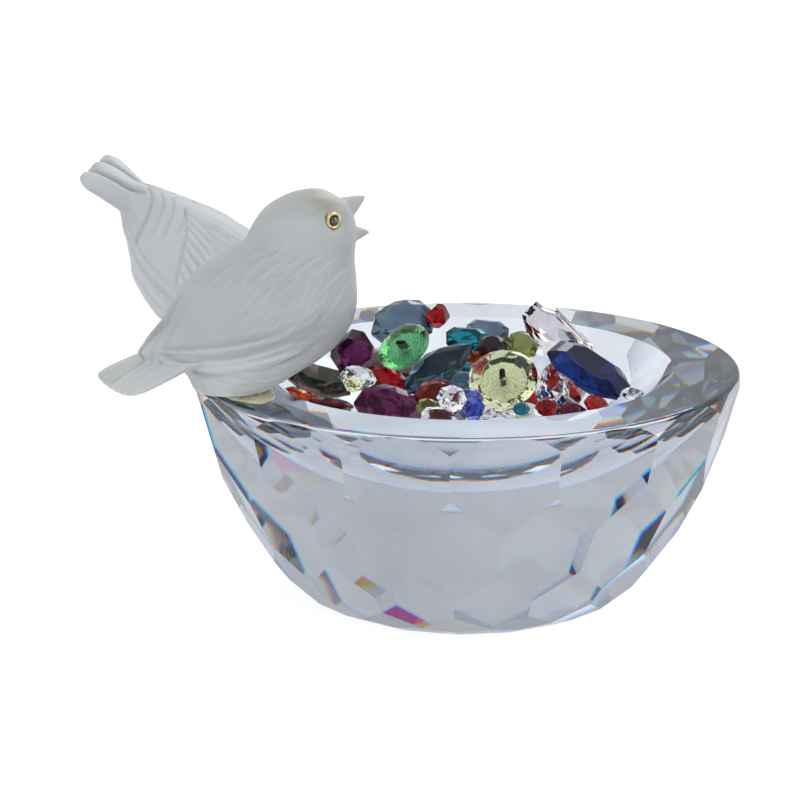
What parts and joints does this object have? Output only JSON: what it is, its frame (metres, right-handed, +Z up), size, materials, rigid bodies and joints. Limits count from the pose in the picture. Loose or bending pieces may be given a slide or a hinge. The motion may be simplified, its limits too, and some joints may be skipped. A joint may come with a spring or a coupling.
{
  "type": "crystal bird figurine",
  "caption": "Faceted clear crystal bowl with frosted glass birds perched on its rim and loose cut-glass stones heaped in its shallow dish.",
  "frame": {"origin": "centre of the underside of the bowl's foot", "axes": "+Z up through the bowl, -Y to the front and +X to the right, with the birds at the left"},
  "size_m": [0.1186, 0.0972, 0.0767],
  "materials": {
    "crystal": "polished clear lead crystal",
    "frosted_crystal": "satin frosted crystal",
    "gold": "polished, gold-plated",
    "eye_dark": "glossy dark brown",
    "glue": "clear cured adhesive, slightly yellow",
    "stone_clear": "polished cut glass",
    "stone_rose": "polished cut glass",
    "stone_smoke": "polished cut glass",
    "stone_steel": "polished cut glass",
    "stone_slate": "polished cut glass",
    "stone_sapphire": "polished cut glass",
    "stone_blue": "polished cut glass",
    "stone_teal": "polished cut glass",
    "stone_emerald": "polished cut glass",
    "stone_lime": "polished cut glass, foiled back",
    "stone_olive": "polished cut glass",
    "stone_jonquil": "polished cut glass, foiled back",
    "stone_amethyst": "polished cut glass",
    "stone_plum": "polished cut glass",
    "stone_siam": "polished cut glass",
    "stone_garnet": "polished cut glass",
    "stone_hyacinth": "polished cut glass",
    "stone_jet": "polished cut glass"
  },
  "bodies": {
    "figurine": {"bowl": "crystal", "singing_bird": "frosted_crystal", "drinking_bird": "frosted_crystal", "singing_eye_ring_right": "gold", "singing_eye_ring_left": "gold", "singing_eye_bead_right": "eye_dark", "singing_eye_bead_left": "eye_dark", "drinking_eye_ring_right": "gold", "drinking_eye_ring_left": "gold", "drinking_eye_bead_right": "eye_dark", "drinking_eye_bead_left": "eye_dark", "singing_glue": "glue", "drinking_glue": "glue"},
    "stone_bed": {"deep_round_slate": "stone_slate", "deep_octagon_siam": "stone_siam", "deep_round_smoke": "stone_smoke", "deep_oval_amethyst": "stone_amethyst", "deep_octagon_jonquil": "stone_jonquil", "deep_octagon_sapphire": "stone_sapphire", "deep_pear_emerald": "stone_emerald", "deep_navette_garnet": "stone_garnet", "deep_octagon_clear": "stone_clear", "deep_oval_clear": "stone_clear", "deep_round_teal": "stone_teal", "grey_octagon": "stone_steel", "olive_round": "stone_olive", "steel_round": "stone_steel", "teal_octagon": "stone_teal", "olive_bead": "stone_olive", "jet_round": "stone_jet", "smoke_octagon": "stone_smoke", "green_pear": "stone_emerald", "siam_navette": "stone_siam", "orange_bead": "stone_hyacinth", "rose_pear": "stone_rose", "garnet_octagon": "stone_garnet", "hyacinth_octagon": "stone_hyacinth", "clear_oval": "stone_clear", "plum_oval": "stone_plum", "jonquil_chaton": "stone_jonquil", "olive_chaton": "stone_olive", "clear_octagon": "stone_clear", "blue_round": "stone_blue", "clear_chaton": "stone_clear", "clear_blue_bead": "stone_blue", "clear_lens": "stone_clear", "teal_chaton": "stone_teal", "red_chaton_left": "stone_siam", "red_chaton_middle": "stone_garnet", "red_chaton_right": "stone_siam", "slate_navette": "stone_slate", "clear_navette": "stone_clear"},
    "lime_stone": {"lime_button": "stone_lime"},
    "jonquil_stone": {"jonquil_button": "stone_jonquil"},
    "sapphire_stone": {"sapphire_octagon": "stone_sapphire"},
    "long_stone": {"clear_long_octagon": "stone_rose"},
    "red_stone": {"red_bead": "stone_siam"},
    "amethyst_stone": {"amethyst_cushion": "stone_amethyst"},
    "siam_stone": {"siam_round": "stone_siam"}
  },
  "joints": [
    {"name": "stones_out", "type": "slide", "parent": "figurine", "child": "stone_bed", "axis": [0.749, 0, 0.6626], "range_m": [0, 0.09]},
    {"name": "lime_lift", "type": "slide", "parent": "stone_bed", "child": "lime_stone", "axis": [0, 0, 1], "range_m": [0, 0.05]},
    {"name": "jonquil_lift", "type": "slide", "parent": "stone_bed", "child": "jonquil_stone", "axis": [0, 0, 1], "range_m": [0, 0.05]},
    {"name": "sapphire_lift", "type": "slide", "parent": "stone_bed", "child": "sapphire_stone", "axis": [0, 0, 1], "range_m": [0, 0.05]},
    {"name": "long_lift", "type": "slide", "parent": "stone_bed", "child": "long_stone", "axis": [0, 0, 1], "range_m": [0, 0.05]},
    {"name": "red_lift", "type": "slide", "parent": "stone_bed", "child": "red_stone", "axis": [0, 0, 1], "range_m": [0, 0.05]},
    {"name": "amethyst_lift", "type": "slide", "parent": "stone_bed", "child": "amethyst_stone", "axis": [0, 0, 1], "range_m": [0, 0.05]},
    {"name": "siam_lift", "type": "slide", "parent": "stone_bed", "child": "siam_stone", "axis": [0, 0, 1], "range_m": [0, 0.05]}
  ]
}
